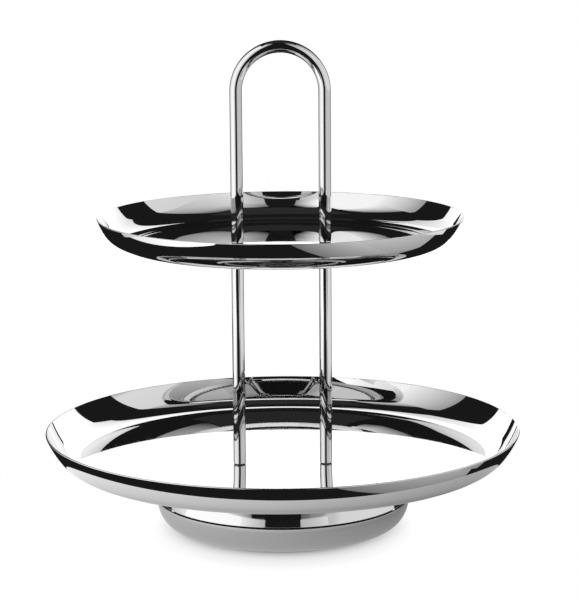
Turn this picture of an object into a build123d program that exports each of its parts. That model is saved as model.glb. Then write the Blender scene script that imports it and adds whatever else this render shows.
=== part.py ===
from build123d import *
from dataclasses import dataclass
from math import atan2, cos, degrees, radians, sin, sqrt
import os

# Two-tier serving stand of polished sheet and rod, on a revolving foot.
# Millimetres, +Z up, origin on the axis of rotation at table level.

# Trays: outer radius, depth, sheet; bends of the floor and the wall; slopes where floor, knee and wall end
lower_tray_radius = 150.0
lower_tray_depth = 24.0
lower_tray_sheet = 1.2
lower_dish_radius = 930.0
lower_wall_bend = 62.5
lower_dish_slope = 5.15
lower_knee_slope = 50.0
lower_rim_slope = 61.9
upper_tray_radius = 115.0
upper_tray_depth = 17.2
upper_tray_sheet = 1.0
upper_dish_radius = 790.0
upper_wall_bend = 42.7
upper_dish_slope = 2.8
upper_knee_slope = 49.8
upper_rim_slope = 62.4

# Rods: the handle above the upper tray, the legs between the trays
rod_diameter = 8.0
leg_spacing = 55.0
tier_rise = 142.4
handle_rise = 126.6
rod_end_chamfer = 0.4

# Seals between rod ends and trays
seal_thickness = 0.5
seal_inset = 0.4

# Threads: studs through the upper tray, screws up through the lower tray
thread_diameter = 5.0
thread_clearance = 0.05
thread_engagement = 12.0
thread_end_chamfer = 0.5
tapped_hole_spare = 2.0
bolt_hole_clearance = 0.25
leg_screw_head_radius = 4.5
leg_screw_head_height = 3.0
leg_screw_socket_flats = 3.0
leg_screw_socket_depth = 1.8
leg_washer_radius = 5.0
leg_washer_thickness = 1.0

# Skirt under the lower tray
skirt_height = 18.8
skirt_flare = 18.0
skirt_sheet = 1.5
skirt_bend = 3.0
seam_step = 1.0
running_gap = 0.6

# Base bowl on the table
base_rim_height = 18.4
base_wall_run = 13.3
base_flat_width = 5.5
base_sheet = 1.5
riser_slope = 85.0
riser_bend = 3.5
grip_thickness = 0.8
grip_width = 5.0
grip_inset = 0.2

# Ball ring that carries the stand
ball_diameter = 5.0
ball_count = 16
ball_clearance = 0.1
race_thickness = 3.2
groove_depth = 1.6
race_inset = 6.0
race_inner_lip = 8.4
race_outer_lip = 4.4
race_seat_margin = 1.0
cage_thickness = 1.2
cage_lip = 4.2
pocket_clearance = 0.15
rivet_count = 4
rivet_first_angle = 45.0
rivet_diameter = 3.0
rivet_head_diameter = 5.4
rivet_head_height = 1.2
rivet_tail_diameter = 5.0
rivet_tail_height = 1.2
rivet_clearance = 0.05

# Hub plate and pivot that keep the foot on when the stand is lifted
hub_plate_thickness = 3.0
hub_boss_radius = 9.0
hub_boss_gap = 0.3
pivot_thread_diameter = 8.0
pivot_thread_spare = 1.0
pivot_shoulder_diameter = 10.0
pivot_running_clearance = 0.05
pivot_head_radius = 8.0
pivot_head_height = 5.0
pivot_socket_flats = 6.0
pivot_socket_depth = 3.0
pivot_head_chamfer = 0.6
pivot_end_play = 0.3
bush_wall = 2.0
bush_flange_radius = 11.0
bush_flange_thickness = 1.5
bush_seat_clearance = 0.02
thrust_washer_radius = 11.0
thrust_washer_thickness = 1.5
thrust_washer_clearance = 0.2

# Heights above the table, from the bottom up
base_underside = grip_thickness
skirt_bottom = base_rim_height + running_gap
lower_tray_underside = skirt_bottom + skirt_height
lower_floor = lower_tray_underside + lower_tray_sheet
upper_floor = lower_floor + tier_rise
upper_tray_underside = upper_floor - upper_tray_sheet
handle_top = upper_floor + handle_rise

# Heights inside the foot, from the lower tray down
skirt_disc_underside = lower_tray_underside - skirt_sheet
hub_plate_underside = skirt_disc_underside - hub_plate_thickness
race_gap = ball_diameter + 2 * ball_clearance - 2 * groove_depth
upper_race_underside = hub_plate_underside - race_thickness
ball_height = upper_race_underside - race_gap / 2
lower_race_top = upper_race_underside - race_gap
plateau_top = lower_race_top - race_thickness
plateau_underside = plateau_top - base_sheet
bush_top = plateau_top + bush_flange_thickness
hub_boss_bottom = bush_top + hub_boss_gap
thrust_washer_top = plateau_underside - pivot_end_play
pivot_head_top = thrust_washer_top - thrust_washer_thickness
leg_screw_seat = hub_plate_underside - leg_washer_thickness

# Radii inside the foot, from the axis out
rod_radius = rod_diameter / 2
leg_offset = leg_spacing / 2
bolt_hole_radius = thread_diameter / 2 + bolt_hole_clearance
race_inner_radius = leg_offset + leg_washer_radius + race_inset
ball_circle_radius = race_inner_radius + race_inner_lip
race_outer_radius = ball_circle_radius + race_outer_lip
hub_plate_radius = race_outer_radius + race_seat_margin
groove_radius = ball_diameter / 2 + ball_clearance
groove_half_width = sqrt(groove_radius**2 - (race_gap / 2) ** 2)
rivet_circle_radius = (race_inner_radius + ball_circle_radius - groove_half_width) / 2
plateau_radius = race_outer_radius + race_seat_margin
riser_drop = plateau_top - base_sheet - base_underside
riser_straight = (riser_drop - 2 * riser_bend * (1 - cos(radians(riser_slope)))) / sin(radians(riser_slope))
riser_run = 2 * riser_bend * sin(radians(riser_slope)) + riser_straight * cos(radians(riser_slope))
riser_foot_radius = plateau_radius + riser_run
base_contact_radius = riser_foot_radius + base_flat_width
base_rim_radius = base_contact_radius + base_wall_run + base_sheet / 2
skirt_bottom_radius = base_rim_radius - seam_step
bush_outer_radius = pivot_shoulder_diameter / 2 + pivot_running_clearance + bush_wall


# Shapes that several pieces share
@dataclass
class Straight:
    """A straight stretch of a bent sheet."""

    length: float


@dataclass
class Bend:
    """An arc of a bent sheet's middle line, turning upwards by a number of degrees, or down if negative."""

    radius: float
    turn: float


def oval_bends(run, rise):
    """Two tangent arcs that leave the level and end upright, the smaller one on the shorter side."""
    split = atan2(rise, run)
    s, c = sin(split), cos(split)
    scale = s * c - (1 - s) * (1 - c)
    first = (run * c - rise * (1 - s)) / scale
    second = (rise * s - run * (1 - c)) / scale
    return [Bend(first, degrees(split)), Bend(second, 90 - degrees(split))]


def sheet_side(start_height, moves, shift):
    """One side of a sheet's section, a distance above its middle line, from the axis outwards."""
    edges = []
    point = Vector(0, start_height + shift)
    direction = Vector(1, 0)
    for move in moves:
        if isinstance(move, Straight):
            edge = Line(point, point + direction * move.length)
        else:
            side = shift if move.turn > 0 else -shift
            edge = JernArc(point, direction, move.radius - side, move.turn)
        edges.append(edge)
        point = edge @ 1
        direction = edge % 1
    return edges


def spun_sheet(start_height, moves, thickness):
    """A spun sheet: its section runs out from the axis along the moves and ends in a rounded edge."""
    half = thickness / 2
    above = sheet_side(start_height, moves, half)
    below = sheet_side(start_height, moves, -half)
    tip = (above[-1] @ 1 + below[-1] @ 1) / 2 + (above[-1] % 1) * half
    edge = ThreePointArc(above[-1] @ 1, tip, below[-1] @ 1)
    middle = Line(above[0] @ 0, below[0] @ 0)
    section = make_face([middle, *above, edge, *below])
    return revolve(Plane.XZ * section, Axis.Z)


def column(radius, bottom, top):
    """An upright cylinder on the axis between two heights."""
    return Pos(0, 0, (bottom + top) / 2) * Cylinder(radius, top - bottom)


def ring(outer, inner, bottom, top):
    """An upright tube on the axis between two heights."""
    return column(outer, bottom, top) - column(inner, bottom, top)


def at_legs(shape):
    """A copy of a shape on each leg's axis."""
    return [Pos(side * leg_offset, 0, 0) * shape for side in (-1, 1)]


def without(shape, cutters):
    """A shape with each cutter taken out of it."""
    for cutter in cutters:
        shape -= cutter
    return shape


def hex_socket(flats, bottom, top):
    """The space of a hexagon key between two heights, on the axis."""
    return Pos(0, 0, bottom) * extrude(RegularPolygon(flats / 2, 6, major_radius=False), top - bottom)


def write(name, *solids):
    """Writes one node, from one solid or from a group of separate ones."""
    shape = solids[0] if len(solids) == 1 else Compound(list(solids))
    export_step(shape, f"parts/{name}.step")


# Trays
def climb(radius, start, end):
    """How far an arc of a section goes outwards and upwards between two slopes."""
    start, end = radians(start), radians(end)
    return radius * (sin(end) - sin(start)), radius * (cos(start) - cos(end))


def tray_moves(radius, depth, sheet, dish_radius, wall_bend, slopes):
    """The way of a tray's section: level middle, dished floor, knee, and a wall that steepens to the rim.

    The knee's bend uses up the depth and the level middle uses up the radius.
    """
    dish_slope, knee_slope, rim_slope = slopes
    dish_reach, dish_rise = climb(dish_radius, 0, dish_slope)
    wall_reach, wall_rise = climb(wall_bend, knee_slope, rim_slope)
    unit_reach, unit_rise = climb(1, dish_slope, knee_slope)
    knee_bend = (depth - dish_rise - wall_rise) / unit_rise
    middle_radius = radius - sheet / 2 - dish_reach - knee_bend * unit_reach - wall_reach
    return [
        Straight(middle_radius),
        Bend(dish_radius, dish_slope),
        Bend(knee_bend, knee_slope - dish_slope),
        Bend(wall_bend, rim_slope - knee_slope),
    ]


def tray(floor, sheet, moves):
    """A round tray, holed for the two rods."""
    plain = spun_sheet(floor - sheet / 2, moves, sheet)
    return without(plain, at_legs(column(bolt_hole_radius, floor - 2 * sheet, floor + sheet)))


def lower_tray():
    """The large tray."""
    moves = tray_moves(
        lower_tray_radius,
        lower_tray_depth,
        lower_tray_sheet,
        lower_dish_radius,
        lower_wall_bend,
        (lower_dish_slope, lower_knee_slope, lower_rim_slope),
    )
    return tray(lower_floor, lower_tray_sheet, moves)


def upper_tray():
    """The small tray."""
    moves = tray_moves(
        upper_tray_radius,
        upper_tray_depth,
        upper_tray_sheet,
        upper_dish_radius,
        upper_wall_bend,
        (upper_dish_slope, upper_knee_slope, upper_rim_slope),
    )
    return tray(upper_floor, upper_tray_sheet, moves)


# Rods and what joins them
leg_bottom = lower_floor + seal_thickness
leg_top = upper_tray_underside - seal_thickness
handle_bottom = upper_floor + seal_thickness
tapped_hole_depth = thread_engagement + tapped_hole_spare
tapped_hole_radius = thread_diameter / 2 + thread_clearance


def end_edges(rod, where):
    """The round edges of a rod's lowest or highest ends."""
    return rod.edges().filter_by(GeomType.CIRCLE).group_by(Axis.Z)[where]


def carrying_handle():
    """A rod bent to an arch, tapped at both feet."""
    arch_height = handle_top - rod_radius - leg_offset
    feet = [Vector(side * leg_offset, 0, handle_bottom) for side in (-1, 1)]
    shoulders = [Vector(side * leg_offset, 0, arch_height) for side in (-1, 1)]
    crown = Vector(0, 0, arch_height + leg_offset)
    rise = Line(feet[0], shoulders[0])
    arch = ThreePointArc(shoulders[0], crown, shoulders[1])
    fall = Line(shoulders[1], feet[1])
    path = Wire([rise, arch, fall])
    rod = sweep(Plane(feet[0], z_dir=(0, 0, 1)) * Circle(rod_radius), path=path)
    rod = chamfer(end_edges(rod, 0), rod_end_chamfer)
    hole = column(tapped_hole_radius, handle_bottom, handle_bottom + tapped_hole_depth)
    return without(rod, at_legs(hole))


def leg(side):
    """A straight rod between the trays, tapped at both ends."""
    rod = column(rod_radius, leg_bottom, leg_top)
    rod = chamfer(end_edges(rod, 0) + end_edges(rod, -1), rod_end_chamfer)
    rod -= column(tapped_hole_radius, leg_bottom, leg_bottom + tapped_hole_depth)
    rod -= column(tapped_hole_radius, leg_top - tapped_hole_depth, leg_top)
    return Pos(side * leg_offset, 0, 0) * rod


def joining_studs():
    """Threaded studs that draw the handle and the legs together through the upper tray."""
    stud = column(thread_diameter / 2, leg_top - thread_engagement, handle_bottom + thread_engagement)
    return at_legs(chamfer(end_edges(stud, 0) + end_edges(stud, -1), thread_end_chamfer))


def seals(bottom):
    """Thin rings between the rod ends and a tray."""
    return at_legs(ring(rod_radius - seal_inset, bolt_hole_radius, bottom, bottom + seal_thickness))


def leg_screws():
    """Socket screws that hold the legs, from under the hub plate."""
    shank = column(thread_diameter / 2, leg_screw_seat, leg_bottom + thread_engagement)
    shank = chamfer(end_edges(shank, -1), thread_end_chamfer)
    head_bottom = leg_screw_seat - leg_screw_head_height
    head = column(leg_screw_head_radius, head_bottom, leg_screw_seat)
    head = chamfer(end_edges(head, 0), thread_end_chamfer)
    socket = hex_socket(leg_screw_socket_flats, head_bottom, head_bottom + leg_screw_socket_depth)
    return at_legs(head + shank - socket)


def leg_washers():
    """Flat washers under the screw heads."""
    return at_legs(ring(leg_washer_radius, bolt_hole_radius, leg_screw_seat, hub_plate_underside))


# The foot that turns with the trays
def skirt():
    """A flared cap, its flat top under the lower tray and its edge over the base's rim."""
    half = skirt_sheet / 2
    turn = 90 - skirt_flare
    drop = skirt_height - skirt_sheet
    bend_drop = skirt_bend * (1 - cos(radians(turn)))
    slant = (drop - bend_drop) / sin(radians(turn))
    reach = skirt_bend * sin(radians(turn)) + slant * cos(radians(turn))
    disc_radius = skirt_bottom_radius - half - reach
    moves = [Straight(disc_radius), Bend(skirt_bend, -turn), Straight(slant)]
    cap = spun_sheet(lower_tray_underside - half, moves, skirt_sheet)
    return without(cap, at_legs(column(bolt_hole_radius, skirt_disc_underside, lower_tray_underside)))


def hub_plate():
    """A plate clamped by the leg screws, with a threaded boss for the pivot."""
    plate = column(hub_plate_radius, hub_plate_underside, skirt_disc_underside)
    plate += column(hub_boss_radius, hub_boss_bottom, hub_plate_underside)
    plate -= column(pivot_thread_diameter / 2 + thread_clearance, hub_boss_bottom, skirt_disc_underside)
    plate = without(plate, at_legs(column(bolt_hole_radius, hub_plate_underside, skirt_disc_underside)))
    holes = column(rivet_diameter / 2 + rivet_clearance, hub_plate_underside, skirt_disc_underside)
    return without(plate, round_the_axis(holes))


def pivot_bolt():
    """A shoulder bolt from below, its shoulder tight against the hub's boss."""
    head_bottom = pivot_head_top - pivot_head_height
    head = column(pivot_head_radius, head_bottom, pivot_head_top)
    head = chamfer(end_edges(head, 0), pivot_head_chamfer)
    shoulder = column(pivot_shoulder_diameter / 2, pivot_head_top, hub_boss_bottom)
    thread = column(pivot_thread_diameter / 2, hub_boss_bottom, skirt_disc_underside - pivot_thread_spare)
    thread = chamfer(end_edges(thread, -1), thread_end_chamfer)
    socket = hex_socket(pivot_socket_flats, head_bottom, head_bottom + pivot_socket_depth)
    return head + shoulder + thread - socket


def thrust_washer():
    """A slippery washer on the bolt's head, which meets the base only when the stand is lifted."""
    hole = pivot_shoulder_diameter / 2 + thrust_washer_clearance
    return ring(thrust_washer_radius, hole, pivot_head_top, thrust_washer_top)


# Ball ring
def round_the_axis(shape):
    """Copies of a shape at the rivets' places."""
    return [place * shape for place in PolarLocations(rivet_circle_radius, rivet_count, rivet_first_angle)]


def grooved_ring(bottom, top):
    """A race ring with the balls' groove, before its rivet holes."""
    groove = Pos(0, 0, ball_height) * Torus(ball_circle_radius, groove_radius)
    return ring(race_outer_radius, race_inner_radius, bottom, top) - groove


def rivet(head_face, tail_face, tail_height, clearance):
    """A rivet on the axis, its sunk head flush with one face, its tail standing past the other."""
    up = 1 if tail_face > head_face else -1
    shank = rivet_diameter / 2 + clearance
    head = rivet_head_diameter / 2 + clearance
    tail = rivet_tail_diameter / 2
    neck = head_face + up * rivet_head_height
    end = tail_face + up * tail_height
    outline = [(0, head_face), (head, head_face), (shank, neck), (shank, tail_face)]
    if tail_height > 0:
        outline += [(tail, tail_face), (shank, end)]
    outline += [(0, end)]
    return revolve(Plane.XZ * make_face(Polyline(*outline, close=True)), Axis.Z)


def upper_race():
    """The ring that turns with the stand."""
    hole = rivet(upper_race_underside, hub_plate_underside, 0, rivet_clearance)
    return without(grooved_ring(upper_race_underside, hub_plate_underside), round_the_axis(hole))


def lower_race():
    """The ring that stays with the base."""
    hole = rivet(lower_race_top, plateau_top, 0, rivet_clearance)
    return without(grooved_ring(plateau_top, lower_race_top), round_the_axis(hole))


def upper_race_rivets():
    """Rivets finished flush with the top of the hub plate."""
    return round_the_axis(rivet(upper_race_underside, skirt_disc_underside, 0, 0))


def lower_race_rivets():
    """Rivets closed over under the base's plateau."""
    return round_the_axis(rivet(lower_race_top, plateau_underside, rivet_tail_height, 0))


def ball_places():
    """The places of the balls around the ring."""
    return Pos(0, 0, ball_height) * PolarLocations(ball_circle_radius, ball_count)


def ball_cage():
    """A flat ring with a pocket for each ball."""
    bottom = ball_height - cage_thickness / 2
    outer, inner = ball_circle_radius + cage_lip, ball_circle_radius - cage_lip
    cage = ring(outer, inner, bottom, bottom + cage_thickness)
    pocket = Cylinder(ball_diameter / 2 + pocket_clearance, 2 * cage_thickness)
    return without(cage, [place * pocket for place in ball_places()])


def bearing_balls():
    """The balls."""
    return [place * Sphere(ball_diameter / 2) for place in ball_places()]


# The foot that stays on the table
def base_bowl():
    """A spun bowl with a raised plateau inside for the ball ring."""
    wall = oval_bends(base_wall_run, base_rim_height - base_underside - base_sheet)
    moves = [
        Straight(plateau_radius),
        Bend(riser_bend, -riser_slope),
        Straight(riser_straight),
        Bend(riser_bend, riser_slope),
        Straight(base_flat_width),
        *wall,
    ]
    bowl = spun_sheet(plateau_top - base_sheet / 2, moves, base_sheet)
    bowl -= column(bush_outer_radius + bush_seat_clearance, plateau_underside, plateau_top)
    holes = column(rivet_diameter / 2 + rivet_clearance, plateau_underside, plateau_top)
    return without(bowl, round_the_axis(holes))


def pivot_bush():
    """A flanged bush in the plateau, in which the bolt's shoulder turns."""
    bore = pivot_shoulder_diameter / 2 + pivot_running_clearance
    sleeve = ring(bush_outer_radius, bore, plateau_underside, bush_top)
    return sleeve + ring(bush_flange_radius, bore, plateau_top, bush_top)


def grip_ring():
    """A soft ring under the base, which meets the table."""
    inner = riser_foot_radius + grip_inset
    return ring(inner + grip_width, inner, 0, base_underside)


def main():
    """Builds and writes every piece."""
    os.makedirs("parts", exist_ok=True)
    write("carrying_handle", carrying_handle())
    write("upper_tray", upper_tray())
    write("lower_tray", lower_tray())
    write("left_leg", leg(-1))
    write("right_leg", leg(1))
    write("joining_studs", *joining_studs())
    write("handle_seals", *seals(upper_floor))
    write("upper_leg_seals", *seals(leg_top))
    write("lower_leg_seals", *seals(lower_floor))
    write("leg_screws", *leg_screws())
    write("leg_washers", *leg_washers())
    write("skirt", skirt())
    write("hub_plate", hub_plate())
    write("pivot_bolt", pivot_bolt())
    write("thrust_washer", thrust_washer())
    write("upper_race", upper_race())
    write("upper_race_rivets", *upper_race_rivets())
    write("ball_cage", ball_cage())
    write("bearing_balls", *bearing_balls())
    write("lower_race", lower_race())
    write("lower_race_rivets", *lower_race_rivets())
    write("base_bowl", base_bowl())
    write("pivot_bush", pivot_bush())
    write("grip_ring", grip_ring())


main()
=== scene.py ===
"""Looks of a polished two-tier serving stand on a revolving foot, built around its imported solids."""

import logging
import math
from dataclasses import dataclass, field
from enum import Enum
from typing import ClassVar, Sequence

import bmesh
import bpy
from mathutils import Matrix, Vector


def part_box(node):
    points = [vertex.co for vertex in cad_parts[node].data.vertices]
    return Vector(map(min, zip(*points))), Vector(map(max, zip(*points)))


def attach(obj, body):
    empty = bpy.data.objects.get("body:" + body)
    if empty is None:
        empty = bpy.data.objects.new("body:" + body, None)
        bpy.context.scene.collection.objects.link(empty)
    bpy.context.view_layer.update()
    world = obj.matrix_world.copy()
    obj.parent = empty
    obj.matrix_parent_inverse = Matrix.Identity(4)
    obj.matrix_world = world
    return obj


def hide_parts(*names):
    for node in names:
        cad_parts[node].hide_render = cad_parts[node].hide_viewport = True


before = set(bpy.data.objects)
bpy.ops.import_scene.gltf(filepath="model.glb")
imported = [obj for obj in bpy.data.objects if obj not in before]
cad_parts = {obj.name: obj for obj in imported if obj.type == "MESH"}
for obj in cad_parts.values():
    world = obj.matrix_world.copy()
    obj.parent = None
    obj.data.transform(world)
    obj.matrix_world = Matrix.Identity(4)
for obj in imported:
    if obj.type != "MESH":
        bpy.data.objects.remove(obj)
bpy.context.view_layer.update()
MM = 0.001
LOG = logging.getLogger("serving_stand")

Shape = bmesh.types.BMesh
Edge = bmesh.types.BMEdge
Vert = bmesh.types.BMVert
Socket = bpy.types.NodeSocket
Pair = tuple[float, float]
Triple = tuple[float, float, float]


class Body(str, Enum):
    """The rigid bodies that new pieces ride on."""

    BASE = "base"
    STAND = "stand"


class Slot(str, Enum):
    """The material slots of the part."""

    TRAY = "polished_tray"
    ROD = "polished_rod"
    FOOT = "polished_foot"
    PLAIN = "plain_steel"
    BEARING = "bearing_steel"
    SEAL = "seal_rubber"
    GRIP = "grip_rubber"
    SLIDE = "slide_plastic"


# Finishes, with the range that most of a noise's values lie in
NOISE_LOW = 0.25
NOISE_HIGH = 0.75


@dataclass(frozen=True)
class Grain:
    """A noise over a piece.

    Args:
        scale: Fineness, in grains per metre.
        detail: Octaves.
        stretch: Scale along each axis.
    """

    scale: float
    detail: float
    stretch: Triple = (1, 1, 1)


@dataclass
class Shading:
    """A material under construction, with the few node chains that finishes and lights share.

    Args:
        material: The material.
    """

    material: bpy.types.Material

    @classmethod
    def named(cls, name: str) -> "Shading":
        """Starts a material.

        Args:
            name: Name of the material.

        Returns:
            The shading of the new material.
        """
        material = bpy.data.materials.new(name)
        material.use_nodes = True
        return cls(material)

    @property
    def shader(self) -> bpy.types.Node:
        """The principled shader node."""
        return self.material.node_tree.nodes["Principled BSDF"]

    @staticmethod
    def fill(node: bpy.types.Node, **values: float | Sequence[float]) -> None:
        """Sets a node's inputs, named with underscores for the spaces in their names."""
        for key, value in values.items():
            node.inputs[key.replace("_", " ")].default_value = value

    def add(self, kind: str, **values: float | Sequence[float]) -> bpy.types.Node:
        """Adds a node.

        Args:
            kind: The node's type.
            **values: Values of its inputs, as for fill.

        Returns:
            The new node.
        """
        node = self.material.node_tree.nodes.new(kind)
        self.fill(node, **values)
        return node

    def link(self, start: Socket, end: Socket) -> None:
        """Joins an output to an input."""
        self.material.node_tree.links.new(start, end)

    def place(self, location: Triple = (0, 0, 0), scale: Triple = (1, 1, 1)) -> Socket:
        """Adds the piece's own coordinates.

        Args:
            location: Shift along each axis, after the scale.
            scale: Scale along each axis.

        Returns:
            The coordinates.
        """
        own = self.add("ShaderNodeTexCoord")
        mapping = self.add("ShaderNodeMapping", Location=location, Scale=scale)
        self.link(own.outputs["Object"], mapping.inputs["Vector"])
        return mapping.outputs["Vector"]

    def noise(self, grain: Grain) -> Socket:
        """Adds a noise over the piece's own coordinates.

        Args:
            grain: The noise.

        Returns:
            Its value.
        """
        node = self.add("ShaderNodeTexNoise", Scale=grain.scale, Detail=grain.detail)
        self.link(self.place(scale=grain.stretch), node.inputs["Vector"])
        return node.outputs["Fac"]

    def calculate(self, operation: str, *terms: Socket | float) -> Socket:
        """Adds a step of arithmetic.

        Args:
            operation: The operation.
            *terms: The sockets or numbers it works on.

        Returns:
            The result.
        """
        node = self.add("ShaderNodeMath")
        node.operation = operation
        for entry, term in zip(node.inputs, terms):
            if isinstance(term, Socket):
                self.link(term, entry)
            else:
                entry.default_value = term
        return node.outputs["Value"]

    def measure(self, operation: str, place: Socket, other: Triple = (0, 0, 0)) -> Socket:
        """Measures coordinates.

        Args:
            operation: The vector operation.
            place: The coordinates.
            other: The vector they are measured against.

        Returns:
            The measure.
        """
        node = self.add("ShaderNodeVectorMath")
        node.operation = operation
        node.inputs[1].default_value = other
        self.link(place, node.inputs[0])
        return node.outputs["Value"]

    def roughen(self, value: Socket, low: float, high: float) -> None:
        """Maps a noise to a range of roughness.

        Args:
            value: The noise.
            low: Least roughness.
            high: Greatest roughness.
        """
        ramp = self.add("ShaderNodeMapRange", To_Min=low, To_Max=high)
        self.fill(ramp, From_Min=NOISE_LOW, From_Max=NOISE_HIGH)
        self.link(value, ramp.inputs["Value"])
        self.link(ramp.outputs["Result"], self.shader.inputs["Roughness"])

    def emboss(self, value: Socket, height: float) -> None:
        """Turns a noise into relief.

        Args:
            value: The noise.
            height: Height of the relief, in metres.
        """
        bump = self.add("ShaderNodeBump", Strength=1, Distance=height)
        self.link(value, bump.inputs["Height"])
        self.link(bump.outputs["Normal"], self.shader.inputs["Normal"])


@dataclass(frozen=True)
class Finish:
    """What all finishes share: a colour, with roughness and relief from noises.

    Args:
        name: Name of the material.
        colour: Its colour, which for a metal is that of its reflection.
        roughness: Least and greatest roughness.
        height: Height of the relief, in metres.
    """

    name: str
    colour: Triple
    roughness: Pair
    height: float
    metallic: ClassVar[float] = 1
    haze: ClassVar[Grain]
    relief: ClassVar[Grain]

    def material(self) -> bpy.types.Material:
        """Builds the material.

        Returns:
            The new material.
        """
        made = Shading.named(self.name)
        made.fill(made.shader, Base_Color=(*self.colour, 1), Metallic=self.metallic)
        made.roughen(made.noise(self.haze), *self.roughness)
        made.emboss(made.noise(self.relief), self.height)
        return made.material


class PolishedSteel(Finish):
    """Mirror-polished stainless steel: faint buffing haze and the slow ripple of spun sheet or drawn rod."""

    haze = Grain(scale=160, detail=5)
    relief = Grain(scale=26, detail=1.5)


class PlainSteel(Finish):
    """Machined or ground steel with short cutting marks."""

    haze = Grain(scale=420, detail=6, stretch=(1, 1, 4))
    relief = Grain(scale=1500, detail=3, stretch=(1, 1, 6))


class Matt(Finish):
    """Rubber or plastic with a fine matt grain."""

    metallic = 0
    haze = Grain(scale=700, detail=5)
    relief = Grain(scale=2600, detail=2)


FINISHES = {
    Slot.TRAY: PolishedSteel("mirror_sheet", (0.76, 0.76, 0.765), (0.012, 0.035), 0.004 * MM),
    Slot.ROD: PolishedSteel("mirror_rod", (0.76, 0.76, 0.765), (0.015, 0.05), 0.003 * MM),
    Slot.FOOT: PolishedSteel("polished_foot", (0.74, 0.74, 0.745), (0.02, 0.06), 0.004 * MM),
    Slot.PLAIN: PlainSteel("machined_steel", (0.56, 0.56, 0.57), (0.22, 0.4), 0.01 * MM),
    Slot.BEARING: PlainSteel("ground_steel", (0.64, 0.64, 0.65), (0.12, 0.24), 0.004 * MM),
    Slot.SEAL: Matt("seal_rubber", (0.018, 0.018, 0.018), (0.55, 0.75), 0.02 * MM),
    Slot.GRIP: Matt("grip_rubber", (0.03, 0.03, 0.031), (0.6, 0.85), 0.03 * MM),
    Slot.SLIDE: Matt("natural_nylon", (0.78, 0.77, 0.72), (0.38, 0.55), 0.01 * MM),
}


class Palette:
    """Makes each finish once and hands it out."""

    def __init__(self) -> None:
        """Starts with no material made."""
        self.made: dict[Slot, bpy.types.Material] = {}

    def of(self, slot: Slot) -> bpy.types.Material:
        """Gives the material of a slot.

        Args:
            slot: The slot.

        Returns:
            Its material.
        """
        if slot not in self.made:
            self.made[slot] = FINISHES[slot].material()
        return self.made[slot]


# Shapes
SHARP_ANGLE = math.radians(50)
SMOOTH_ANGLE = math.radians(35)
ROUNDING_SEGMENTS = 4
BEND_STEPS_PER_TURN = 320
LEAST_BEND_STEPS = 20
STEPS_AROUND = 256
MERGE_DISTANCE = 0.001 * MM
GUARD = 0.25 * MM
FOOT_EDGE = 0.2 * MM


def sharp_edges(mesh: Shape) -> list[Edge]:
    """Finds the edges at which two faces meet at a corner."""
    inner = [edge for edge in mesh.edges if len(edge.link_faces) == 2]
    return [edge for edge in inner if edge.calc_face_angle() > SHARP_ANGLE]


def round_edges(mesh: Shape, edges: list[Edge], offset: float) -> None:
    """Rounds edges, as wide as the offset on each face."""
    bmesh.ops.bevel(mesh, geom=edges, offset=offset, offset_type="OFFSET", affect="EDGES",
                    segments=ROUNDING_SEGMENTS, profile=0.5, material=-1)


def climb(radius: float, start: float, end: float) -> Pair:
    """Measures how far an arc between two slopes goes outwards and how far upwards."""
    return radius * (math.sin(end) - math.sin(start)), radius * (math.cos(start) - math.cos(end))


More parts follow.
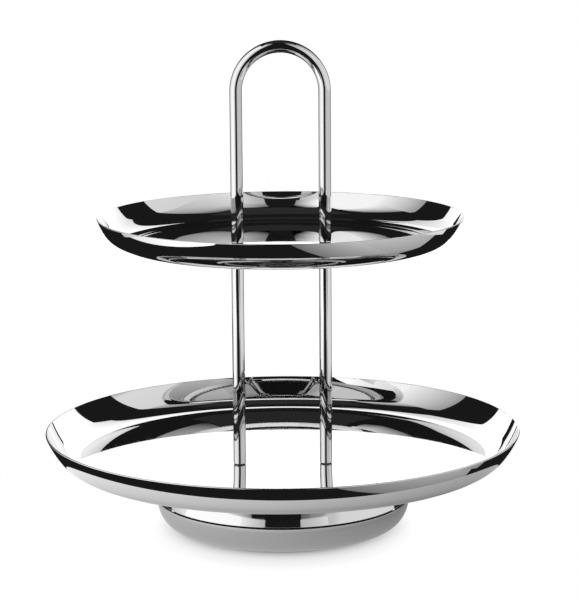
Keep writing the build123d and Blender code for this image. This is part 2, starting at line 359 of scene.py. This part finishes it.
class SheetSection:
    """Walks one side of a spun sheet's section outwards with bmesh operators, then spins it."""

    def __init__(self, mesh: Shape, height: float, shift: float, start: float = 0,
                 steps_per_turn: int = BEND_STEPS_PER_TURN) -> None:
        """Puts the first point down.

        Args:
            mesh: The mesh that gets the section.
            height: Height of the sheet's middle line at its start.
            shift: How far the walked side lies above the middle line.
            start: Radius at which the sheet starts.
            steps_per_turn: Fineness of its bends.
        """
        self.mesh = mesh
        self.shift = shift
        self.heading = 0.0
        self.steps_per_turn = steps_per_turn
        self.tip = bmesh.ops.create_vert(mesh, co=(start, 0, height + shift))["vert"][0]

    def straight(self, length: float) -> None:
        """Goes straight on, with a short guard stretch at each end that keeps the long one's shading true.

        Args:
            length: Length of the stretch.
        """
        ahead = Vector((math.cos(self.heading), 0, math.sin(self.heading)))
        guard = min(GUARD, length / 4)
        for part in (guard, length - 2 * guard, guard):
            self.tip = bmesh.ops.extrude_vert_indiv(self.mesh, verts=[self.tip])["verts"][0]
            bmesh.ops.translate(self.mesh, vec=ahead * part, verts=[self.tip])

    def bend(self, radius: float, turn: float) -> None:
        """Goes round an arc.

        Args:
            radius: Radius of the middle line.
            turn: Angle of the arc, upwards if positive.
        """
        reach = math.copysign(radius, turn) - self.shift
        centre = self.tip.co + Vector((-math.sin(self.heading), 0, math.cos(self.heading))) * reach
        steps = max(LEAST_BEND_STEPS, round(abs(turn) / math.tau * self.steps_per_turn))
        made = bmesh.ops.spin(self.mesh, geom=[self.tip], cent=centre, axis=(0, -1, 0),
                              angle=turn, steps=steps)
        self.tip = next(item for item in made["geom_last"] if isinstance(item, Vert))
        self.heading += turn

    def oval(self, run: float, rise: float) -> None:
        """Goes from level to upright along two tangent arcs.

        Args:
            run: How far the arcs reach outwards.
            rise: How far they climb.
        """
        split = math.atan2(rise, run)
        sine, cosine = math.sin(split), math.cos(split)
        scale = sine * cosine - (1 - sine) * (1 - cosine)
        self.bend((run * cosine - rise * (1 - sine)) / scale, split)
        self.bend((rise * sine - run * (1 - cosine)) / scale, math.pi / 2 - split)

    def spin(self, thickness: float, edge: float) -> None:
        """Turns the section into a sheet with rounded edges.

        Args:
            thickness: Thickness of the sheet, away from the walked side.
            edge: Width of the rounding on each side of an edge.
        """
        mesh = self.mesh
        bmesh.ops.spin(mesh, geom=mesh.verts[:] + mesh.edges[:], cent=(0, 0, 0), axis=(0, 0, 1),
                       angle=math.tau, steps=STEPS_AROUND, use_merge=True)
        bmesh.ops.remove_doubles(mesh, verts=mesh.verts[:], dist=MERGE_DISTANCE)
        bmesh.ops.recalc_face_normals(mesh, faces=mesh.faces[:])
        mesh.normal_update()
        middle = min(mesh.faces, key=lambda face: face.calc_center_median().xy.length)
        if (middle.normal.z > 0) != (self.shift > 0):
            bmesh.ops.reverse_faces(mesh, faces=mesh.faces[:])
            mesh.normal_update()
        bmesh.ops.solidify(mesh, geom=mesh.faces[:], thickness=thickness)
        mesh.normal_update()
        round_edges(mesh, sharp_edges(mesh), edge)


@dataclass(frozen=True)
class Piece:
    """How a finished mesh enters the scene.

    Args:
        node: The node it stands for, which also names it.
        body: The body it rides on.
        slot: Its material slot.
    """

    node: str
    body: Body
    slot: Slot

    def finish(self, mesh: Shape, palette: Palette) -> bpy.types.Object:
        """Makes an object of a mesh in place of the node.

        Args:
            mesh: The shape, which is freed.
            palette: The finishes.

        Returns:
            The new object.
        """
        data = bpy.data.meshes.new("visual_" + self.node)
        for face in mesh.faces:
            face.smooth = True
        mesh.to_mesh(data)
        mesh.free()
        data.set_sharp_from_angle(angle=SMOOTH_ANGLE)
        data.materials.append(palette.of(self.slot))
        made = bpy.data.objects.new(data.name, data)
        bpy.context.scene.collection.objects.link(made)
        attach(made, self.body.value)
        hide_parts(self.node)
        LOG.info("%s: %d faces on %s", data.name, len(data.polygons), self.body.value)
        return made


@dataclass
class Tray:
    """A round tray: level middle, dished floor, a knee that uses up the depth, a wall that steepens.

    Args:
        node: The tray's node.
        sheet: Thickness of its sheet.
        dish: Radius of the floor's dish.
        wall: Radius of the wall's bend.
        slopes: Slopes at which floor, knee and wall end, in degrees.
        rim_rounding: Width of the rounding on each side of the rim, as a share of the sheet.
    """

    node: str
    sheet: float
    dish: float
    wall: float
    slopes: Triple
    rim_rounding: float = 0.46

    def build(self, palette: Palette) -> bpy.types.Object:
        """Models the tray.

        Args:
            palette: The finishes.

        Returns:
            The tray.
        """
        low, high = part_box(self.node)
        floor_end, knee_end, rim = (math.radians(slope) for slope in self.slopes)
        dish_reach, dish_rise = climb(self.dish, 0, floor_end)
        wall_reach, wall_rise = climb(self.wall, knee_end, rim)
        unit_reach, unit_rise = climb(1, floor_end, knee_end)
        knee = (high.z - low.z - self.sheet - dish_rise - wall_rise) / unit_rise
        mesh = bmesh.new()
        section = SheetSection(mesh, low.z + self.sheet / 2, self.sheet / 2)
        section.straight(high.x - self.sheet / 2 - dish_reach - knee * unit_reach - wall_reach)
        section.bend(self.dish, floor_end)
        section.bend(knee, knee_end - floor_end)
        section.bend(self.wall, rim - knee_end)
        section.straight(self.sheet / 2)
        section.spin(self.sheet, self.rim_rounding * self.sheet)
        return Piece(self.node, Body.STAND, Slot.TRAY).finish(mesh, palette)


TRAYS = (
    Tray("lower_tray", sheet=1.2 * MM, dish=966 * MM, wall=59.7 * MM, slopes=(5.5, 52.4, 65.9)),
    Tray("upper_tray", sheet=1.0 * MM, dish=600 * MM, wall=55 * MM, slopes=(1.6, 59.5, 68.5)),
)


@dataclass
class Skirt:
    """The flared cap under the lower tray.

    Args:
        flare: Angle of its wall to the upright.
        bend: Radius between its flat top and its wall.
        sheet: Thickness of its sheet.
    """

    flare: float = math.radians(18)
    bend: float = 3 * MM
    sheet: float = 1.5 * MM

    def build(self, palette: Palette) -> bpy.types.Object:
        """Models the skirt.

        Args:
            palette: The finishes.

        Returns:
            The skirt.
        """
        low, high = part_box("skirt")
        turn = math.pi / 2 - self.flare
        drop = high.z - low.z - self.sheet
        slant = (drop - self.bend * (1 - math.cos(turn))) / math.sin(turn)
        reach = self.bend * math.sin(turn) + slant * math.cos(turn)
        mesh = bmesh.new()
        section = SheetSection(mesh, high.z - self.sheet / 2, self.sheet / 2)
        section.straight(high.x - self.sheet / 2 - reach)
        section.bend(self.bend, -turn)
        section.straight(slant + self.sheet / 2)
        section.spin(self.sheet, FOOT_EDGE)
        return Piece("skirt", Body.STAND, Slot.FOOT).finish(mesh, palette)


@dataclass
class BaseBowl:
    """The bowl on the table, with the raised plateau inside it.

    Args:
        rim_height: Height of its rim above the table.
        wall_run: How far its wall reaches outwards.
        flat: Width of the level ring between plateau and wall.
        riser_slope: Slope of the plateau's side.
        riser_bend: Radius of the bends above and below that side.
        sheet: Thickness of its sheet.
        hole: Radius of the hole in its middle.
        steps_per_turn: Fineness of its bends.
    """

    rim_height: float = 18.4 * MM
    wall_run: float = 13.3 * MM
    flat: float = 5.5 * MM
    riser_slope: float = math.radians(85)
    riser_bend: float = 3.5 * MM
    sheet: float = 1.5 * MM
    hole: float = 7.07 * MM
    steps_per_turn: int = 200

    def build(self, palette: Palette) -> bpy.types.Object:
        """Models the bowl.

        Args:
            palette: The finishes.

        Returns:
            The bowl.
        """
        low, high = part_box("base_bowl")
        drop = high.z - low.z - self.sheet
        bends_run, bends_drop = climb(2 * self.riser_bend, 0, self.riser_slope)
        riser = (drop - bends_drop) / math.sin(self.riser_slope)
        run = bends_run + riser * math.cos(self.riser_slope)
        plateau = high.x - self.sheet / 2 - self.wall_run - self.flat - run
        top = high.z - self.sheet / 2
        mesh = bmesh.new()
        section = SheetSection(mesh, top, self.sheet / 2, self.hole, self.steps_per_turn)
        section.straight(plateau - self.hole)
        section.bend(self.riser_bend, -self.riser_slope)
        section.straight(riser)
        section.bend(self.riser_bend, self.riser_slope)
        section.straight(self.flat)
        section.oval(self.wall_run, self.rim_height - low.z - self.sheet)
        section.straight(self.sheet / 2)
        section.spin(self.sheet, FOOT_EDGE)
        return Piece("base_bowl", Body.BASE, Slot.FOOT).finish(mesh, palette)


@dataclass
class Rods:
    """The arched handle and the two legs.

    Args:
        radius: Radius of the rod.
        chamfer: Width of the rounding at its ends.
        guard: Length of the short stretch at each end of a straight one, which keeps its shading true.
        sides: Number of steps round the rod.
        arch_steps: Number of steps along the arch.
    """

    radius: float = 4 * MM
    chamfer: float = 0.4 * MM
    guard: float = 0.8 * MM
    sides: int = 64
    arch_steps: int = 128

    def build(self, palette: Palette) -> list[bpy.types.Object]:
        """Models the handle and the legs."""
        return [self.handle(palette), self.leg("left_leg", palette), self.leg("right_leg", palette)]

    def leg(self, node: str, palette: Palette) -> bpy.types.Object:
        """Models a leg.

        Args:
            node: The leg's node.
            palette: The finishes.

        Returns:
            The leg.
        """
        low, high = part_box(node)
        mesh = bmesh.new()
        ring = self.circle(mesh, Vector(((low.x + high.x) / 2, 0, low.z)))
        self.straight(mesh, ring, high.z - low.z)
        self.close(mesh)
        return Piece(node, Body.STAND, Slot.ROD).finish(mesh, palette)

    def handle(self, palette: Palette) -> bpy.types.Object:
        """Models the handle.

        Args:
            palette: The finishes.

        Returns:
            The handle.
        """
        low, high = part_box("carrying_handle")
        offset = high.x - self.radius
        arch = high.z - self.radius - offset
        mesh = bmesh.new()
        ring = self.circle(mesh, Vector((-offset, 0, low.z)))
        ring = self.straight(mesh, ring, arch - low.z)
        turned = bmesh.ops.spin(mesh, geom=ring, cent=(0, 0, arch), axis=(0, 1, 0),
                                angle=math.pi, steps=self.arch_steps)
        ring = [item for item in turned["geom_last"] if isinstance(item, Edge)]
        self.straight(mesh, ring, low.z - arch)
        self.close(mesh)
        return Piece("carrying_handle", Body.STAND, Slot.ROD).finish(mesh, palette)

    def circle(self, mesh: Shape, centre: Vector) -> list[Edge]:
        """Draws the rod's section.

        Args:
            mesh: The mesh, still empty.
            centre: Middle of the section.

        Returns:
            The section's edges.
        """
        bmesh.ops.create_circle(mesh, cap_ends=False, segments=self.sides, radius=self.radius,
                                matrix=Matrix.Translation(centre))
        return mesh.edges[:]

    def straight(self, mesh: Shape, ring: list[Edge], length: float) -> list[Edge]:
        """Draws a ring of edges straight up or down, with a guard stretch at each end.

        Args:
            mesh: The mesh.
            ring: The ring.
            length: How far it goes, upwards if positive.

        Returns:
            The last ring.
        """
        guard = math.copysign(self.guard, length)
        for part in (guard, length - 2 * guard, guard):
            made = bmesh.ops.extrude_edge_only(mesh, edges=ring)["geom"]
            fresh = [item for item in made if isinstance(item, Vert)]
            bmesh.ops.translate(mesh, vec=(0, 0, part), verts=fresh)
            ring = [item for item in made if isinstance(item, Edge) and set(item.verts) <= set(fresh)]
        return ring

    def close(self, mesh: Shape) -> None:
        """Closes a rod's ends and rounds their edges.

        Args:
            mesh: The mesh.
        """
        bmesh.ops.holes_fill(mesh, edges=mesh.edges[:], sides=self.sides)
        bmesh.ops.recalc_face_normals(mesh, faces=mesh.faces[:])
        mesh.normal_update()
        round_edges(mesh, sharp_edges(mesh), self.chamfer)


@dataclass
class Fittings:
    """The joints, the ball ring and the pivot, which keep their solids and get their finishes.

    Args:
        nodes: The nodes of each slot.
    """

    nodes: dict[Slot, tuple[str, ...]] = field(default_factory=lambda: {
        Slot.PLAIN: ("joining_studs", "leg_screws", "leg_washers", "hub_plate", "pivot_bolt",
                     "upper_race_rivets", "lower_race_rivets"),
        Slot.BEARING: ("upper_race", "lower_race", "bearing_balls"),
        Slot.SEAL: ("handle_seals", "upper_leg_seals", "lower_leg_seals"),
        Slot.GRIP: ("grip_ring",),
        Slot.SLIDE: ("pivot_bush", "thrust_washer", "ball_cage"),
    })

    def dress(self, palette: Palette) -> None:
        """Gives each solid its finish.

        Args:
            palette: The finishes.
        """
        for slot, names in self.nodes.items():
            for name in names:
                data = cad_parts[name].data
                data.materials.clear()
                data.materials.append(palette.of(slot))
                LOG.info("%s: %s", name, slot.value)


# Studio
class Seen(Enum):
    """How a piece of the stage is seen, as the kinds of rays that pass it by."""

    AS_LIGHT = ("camera", "shadow")
    BY_CAMERA = ("glossy", "diffuse", "shadow", "transmission", "volume_scatter")


def stage_object(name: str, mesh: Shape, material: bpy.types.Material, seen: Seen) -> bpy.types.Object:
    """Puts a piece of the stage up.

    Args:
        name: Its name.
        mesh: Its shape, which is freed.
        material: Its finish.
        seen: How it is seen.

    Returns:
        The piece.
    """
    data = bpy.data.meshes.new(name)
    mesh.to_mesh(data)
    mesh.free()
    data.materials.append(material)
    made = bpy.data.objects.new(name, data)
    bpy.context.scene.collection.objects.link(made)
    for kind in seen.value:
        setattr(made, "visible_" + kind, False)
    return made


@dataclass(frozen=True)
class Glow:
    """A surface that gives light, evenly or in slow gradients.

    Args:
        name: Name of the material.
        base: Brightness at the origin, or on the ring.
        slope: Growth of the brightness per metre along each axis.
        ring: Radius of a ring round the origin, in metres, where the painted shade is deepest.
        off_ring: Growth of the brightness per metre away from the ring.
        least: Least brightness near the ring.
    """

    name: str
    base: float
    slope: Triple = (0, 0, 0)
    ring: float = 0
    off_ring: float = 0
    least: float = 0

    def material(self) -> bpy.types.Material:
        """Builds the material.

        Returns:
            The new material.
        """
        made = Shading.named(self.name)
        made.fill(made.shader, Base_Color=(0, 0, 0, 1), Specular_IOR_Level=0, Emission_Color=(1, 1, 1, 1))
        light = self.base
        if self.off_ring:
            away = made.calculate("SUBTRACT", made.measure("LENGTH", made.place()), self.ring)
            light = made.calculate("MULTIPLY_ADD", made.calculate("ABSOLUTE", away), self.off_ring, light)
            light = made.calculate("MAXIMUM", light, self.least)
        light = made.calculate("ADD", made.measure("DOT_PRODUCT", made.place(), self.slope), light)
        made.link(made.calculate("MAXIMUM", light, 0), made.shader.inputs["Emission Strength"])
        return made.material


class Facing(Enum):
    """The axes of a panel: sideways, upwards and the one that it faces along."""

    SIDE = (1, 2, 0)
    FRONT = (0, 2, 1)
    UP = (0, 1, 2)


@dataclass(frozen=True)
class Panel:
    """A flat panel of the light tent, seen only as light and in reflections. Its sizes are in millimetres.

    Args:
        name: Its name.
        facing: The way it faces.
        at: Its place that way.
        across: Where it starts and ends sideways.
        up: Where it starts and ends upwards, or towards the back if it is level.
        radiance: Its brightness at its start and at its end upwards.
        lean: Growth of its brightness sideways, per metre from its middle.
        slant: How far its end upwards is shifted sideways.
    """

    name: str
    facing: Facing
    at: float
    across: Pair
    up: Pair
    radiance: Pair
    lean: float = 0
    slant: float = 0

    def build(self) -> bpy.types.Object:
        """Puts the panel up.

        Returns:
            The panel.
        """
        side, rise, depth = self.facing.value
        place = Matrix.Diagonal((0, 0, 0, 1))
        place[side][0] = (self.across[1] - self.across[0]) * MM
        place[side][1] = self.slant * MM
        place[rise][1] = (self.up[1] - self.up[0]) * MM
        place[depth][2] = 1
        place[side][3] = sum(self.across) / 2 * MM
        place[rise][3] = sum(self.up) / 2 * MM
        place[depth][3] = self.at * MM
        mesh = bmesh.new()
        # A square of one metre, which its place stretches
        bmesh.ops.create_grid(mesh, x_segments=1, y_segments=1, size=0.5, matrix=place)
        slope = Vector()
        slope[side] = self.lean
        slope[rise] = (self.radiance[1] - self.radiance[0]) / place[rise][1]
        light = Glow(self.name, sum(self.radiance) / 2 - slope.dot(place.translation), tuple(slope))
        return stage_object(self.name, mesh, light.material(), Seen.AS_LIGHT)


def wall(name: str, facing: Facing, at: float, across: Pair, levels: Sequence[Pair],
         lean: float = 0) -> list[Panel]:
    """A wall of the tent in panels one above the other.

    Args:
        name: Name of the wall.
        facing: The way it faces.
        at: Its place that way, in millimetres.
        across: Where it starts and ends sideways, in millimetres.
        levels: Height, in millimetres, and brightness at each change, from the bottom up.
        lean: Growth of the brightness sideways, per metre from the middle.

    Returns:
        Its panels.
    """
    panels = []
    for number, ((low, dim), (high, bright)) in enumerate(zip(levels, levels[1:]), 1):
        panels.append(Panel(f"{name}_{number}", facing, at, across, (low, high), (dim, bright), lean))
    return panels


@dataclass(frozen=True)
class Table:
    """The round table top under the stand, seen only in reflections. Its glow is painted light: brighter to
    the left, with painted shade darkest on a ring round the foot.

    Args:
        centre: Its middle, in millimetres.
        radius: Its radius, in millimetres.
        sides: Number of steps round it.
        light: The light that it gives, which is the painted light and shade of the table.
    """

    centre: Pair = (-1, 18)
    radius: float = 175
    sides: int = 128
    # Painted light and shade: brighter to the left, and a painted shadow of the foot, darkest at the ring
    light: Glow = Glow("table", base=0.33, slope=(-1.4, 0, 0), ring=0.0975, off_ring=5.2, least=0.425)

    def build(self) -> bpy.types.Object:
        """Puts the table up.

        Returns:
            The table.
        """
        mesh = bmesh.new()
        place = Matrix.Translation(Vector((*self.centre, 0)) * MM)
        bmesh.ops.create_circle(mesh, cap_ends=True, segments=self.sides, radius=self.radius * MM,
                                matrix=place)
        return stage_object("table", mesh, self.light.material(), Seen.AS_LIGHT)


@dataclass(frozen=True)
class Shadow:
    """A soft oval shadow on the floor. Its sizes are in millimetres.

    Args:
        centre: Its middle.
        reach: How far it reaches along each axis.
        depth: How much of the light it takes in its middle.
        fall: Power with which it fades.
    """

    centre: Pair
    reach: Pair
    depth: float
    fall: float

    def taken(self, made: Shading) -> Socket:
        """Works out how much light the shadow takes.

        Args:
            made: The floor's shading.

        Returns:
            The light taken.
        """
        scale = [1 / (reach * MM) for reach in self.reach]
        shift = [-middle / reach for middle, reach in zip(self.centre, self.reach)]
        away = made.measure("LENGTH", made.place((*shift, 0), (*scale, 0)))
        inside = made.calculate("MAXIMUM", made.calculate("SUBTRACT", 1, away), 0)
        return made.calculate("MULTIPLY", made.calculate("POWER", inside, self.fall), self.depth)


@dataclass(frozen=True)
class Floor:
    """The white floor as the camera sees it.

    Args:
        reach: How far it reaches along each axis, in metres.
        front_shadow: The soft shadow to the front.
        foot_shadow: The tight shadow at the foot.
    """

    reach: float = 2
    front_shadow: Shadow = Shadow(centre=(0, -11), reach=(84, 94), depth=0.9, fall=1.15)
    foot_shadow: Shadow = Shadow(centre=(0, 0), reach=(84, 84), depth=7.9, fall=2)

    def build(self) -> bpy.types.Object:
        """Puts the floor down.

        Returns:
            The floor.
        """
        mesh = bmesh.new()
        bmesh.ops.create_grid(mesh, x_segments=1, y_segments=1, size=self.reach)
        return stage_object("floor", mesh, self.material(), Seen.BY_CAMERA)

    def material(self) -> bpy.types.Material:
        """Builds the floor's white, which is clear from below.

        Returns:
            The material.
        """
        made = Shading.named("floor")
        nodes = made.material.node_tree.nodes
        nodes.remove(made.shader)
        white = 1
        for shadow in (self.front_shadow, self.foot_shadow):
            white = made.calculate("SUBTRACT", white, shadow.taken(made))
        light = made.add("ShaderNodeEmission")
        clear = made.add("ShaderNodeBsdfTransparent")
        side = made.add("ShaderNodeNewGeometry")
        choice = made.add("ShaderNodeMixShader")
        made.link(made.calculate("MAXIMUM", white, 0), light.inputs["Strength"])
        made.link(side.outputs["Backfacing"], choice.inputs["Fac"])
        made.link(light.outputs["Emission"], choice.inputs[1])
        made.link(clear.outputs["BSDF"], choice.inputs[2])
        made.link(choice.outputs["Shader"], nodes["Material Output"].inputs["Surface"])
        return made.material


# The light tent: its planes, in millimetres, and the panels that hang in them
LEFT = -330
RIGHT = 330
WINGS = -790
BACK = 398
TENT = (
    *wall("left_side", Facing.SIDE, LEFT, (-425, 0),
          ((30, 1.35), (300, 1.17), (600, 1.19), (800, 1.2), (1030, 1.08))),
    *wall("left_side_back", Facing.SIDE, LEFT, (0, 245), ((65, 0.78), (500, 0.76)), -3.1),
    *wall("left_side_top", Facing.SIDE, LEFT, (0, 190), ((500, 0.72), (850, 0.6), (1000, 0.2)), -4.5),
    Panel("left_side_foot", Facing.SIDE, LEFT, (0, 135), (28, 65), (0.85, 0.85), -3.1),
    Panel("left_hem", Facing.SIDE, LEFT, (-600, -150), (-60, 30), (0.6, 1.0), 1.5),
    Panel("left_hem_back", Facing.SIDE, LEFT - 1, (-360, -110), (-210, 30), (1.55, 1.55), -1.7, slant=406),
    *wall("right_side", Facing.SIDE, RIGHT, (-425, 172),
          ((30, 0.9), (125, 0.88), (150, 0.69), (245, 0.67), (265, 0.9), (500, 0.83))),
    *wall("right_side_top", Facing.SIDE, RIGHT, (-425, 172),
          ((500, 0.83), (600, 0.74), (800, 0.62), (1000, 0.42), (1120, 0.3)), -1),
    Panel("right_hem", Facing.SIDE, RIGHT, (-330, 100), (-150, 30), (0.48, 0.7), -0.8),
    *wall("right_hem_front", Facing.SIDE, RIGHT, (WINGS, -330),
          ((-100, 0.33), (-20, 0.42), (-15, 0.68), (30, 0.76))),
    *wall("right_hem_wing", Facing.FRONT, WINGS, (210, 400),
          ((-100, 0.22), (-50, 0.27), (-45, 0.72), (30, 0.76)), 0.8),
    *wall("left_wing_low", Facing.FRONT, WINGS, (-760, -240), ((30, 0.94), (1200, 0.94)), -1.3),
    *wall("left_wing", Facing.FRONT, WINGS, (-760, -200),
          ((1200, 1.1), (1500, 1.12), (1700, 0.87), (2100, 0.65), (2300, 0.38), (2500, 0.25), (2750, 0)),
          -2.8),
    *wall("right_wing_foot", Facing.FRONT, WINGS, (200, 760),
          ((30, 0.77), (90, 0.74), (120, 0.64), (250, 0.64)), 0.1),
    *wall("right_wing_low", Facing.FRONT, WINGS, (200, 760), ((250, 0.79), (600, 0.79)), 0.65),
    *wall("right_wing", Facing.FRONT, WINGS, (195, 760),
          ((600, 0.88), (1350, 0.78), (1500, 0.58), (1900, 0.5), (2300, 0.3), (2750, 0.03)), 1),
    *wall("left_back", Facing.FRONT, BACK, (-180, -25), ((0, 1.4), (200, 1.4), (525, 0.75))),
    *wall("right_back", Facing.FRONT, BACK, (-25, 297), ((0, 1.4), (250, 1.4), (455, 1.0)), -0.8),
    Panel("low_card", Facing.UP, -300, (200, 700), (-600, 178), (0.79, 0.37), 1.4, slant=389),
    Panel("ceiling", Facing.UP, 2800, (-900, 900), (-785, 900), (0.03, 0.03)),
)


@dataclass(frozen=True)
class Camera:
    """The camera at the photograph's place and angle.

    Args:
        place: Where it stands, in millimetres.
        pitch: How far it looks down.
        yaw: How far it looks to the right.
        roll: How far it is turned about its line of sight.
        lens: Its focal length, in millimetres.
    """

    place: Triple = (-18.46, -1378.65, 399.4)
    pitch: float = math.radians(10.471)
    yaw: float = math.radians(0.983)
    roll: float = math.radians(0.396)
    lens: float = 133.35

    def build(self) -> bpy.types.Object:
        """Puts the camera up.

        Returns:
            The camera.
        """
        level = math.cos(self.pitch)
        forward = Vector((math.sin(self.yaw) * level, math.cos(self.yaw) * level, -math.sin(self.pitch)))
        right = Vector((math.cos(self.yaw), -math.sin(self.yaw), 0))
        up = right.cross(forward)
        sine, cosine = math.sin(self.roll), math.cos(self.roll)
        axes = Matrix((right * cosine - up * sine, right * sine + up * cosine, -forward))
        data = bpy.data.cameras.new("camera")
        data.lens = self.lens
        made = bpy.data.objects.new("camera", data)
        made.matrix_world = Matrix.Translation(Vector(self.place) * MM) @ axes.transposed().to_4x4()
        bpy.context.scene.collection.objects.link(made)
        bpy.context.scene.camera = made
        return made


@dataclass(frozen=True)
class Studio:
    """The light tent, the table, the white floor and surroundings, the camera and the dim room.

    Args:
        ambient: Brightness of the room.
        surroundings: Radius of the white surroundings, in metres.
        bounces: Most bounces of a ray.
        glossy_bounces: Most reflections of a ray.
    """

    ambient: float = 0.012
    surroundings: float = 8
    bounces: int = 16
    glossy_bounces: int = 14

    def build(self) -> None:
        """Sets the studio up."""
        for panel in TENT:
            panel.build()
        Table().build()
        Floor().build()
        self.surround()
        Camera().build()
        self.dim_room()
        LOG.info("studio: %d panels", len(TENT))

    def surround(self) -> bpy.types.Object:
        """Puts the white surroundings up.

        Returns:
            The surroundings.
        """
        mesh = bmesh.new()
        bmesh.ops.create_icosphere(mesh, subdivisions=3, radius=self.surroundings)
        return stage_object("surroundings", mesh, Glow("surroundings", 1).material(), Seen.BY_CAMERA)

    def dim_room(self) -> None:
        """Sets the room's dim light, the view and the number of reflections."""
        world = bpy.data.worlds.new("dim_room")
        world.use_nodes = True
        grey = (self.ambient, self.ambient, self.ambient, 1)
        world.node_tree.nodes["Background"].inputs["Color"].default_value = grey
        scene = bpy.context.scene
        scene.world = world
        scene.view_settings.view_transform = "Standard"
        scene.cycles.max_bounces = self.bounces
        scene.cycles.glossy_bounces = self.glossy_bounces


def main() -> None:
    """Builds the stand and its studio."""
    logging.basicConfig(level=logging.INFO, format="%(message)s")
    palette = Palette()
    for tray in TRAYS:
        tray.build(palette)
    Skirt().build(palette)
    BaseBowl().build(palette)
    Rods().build(palette)
    Fittings().dress(palette)
    Studio().build()


if __name__ == "__main__":
    main()
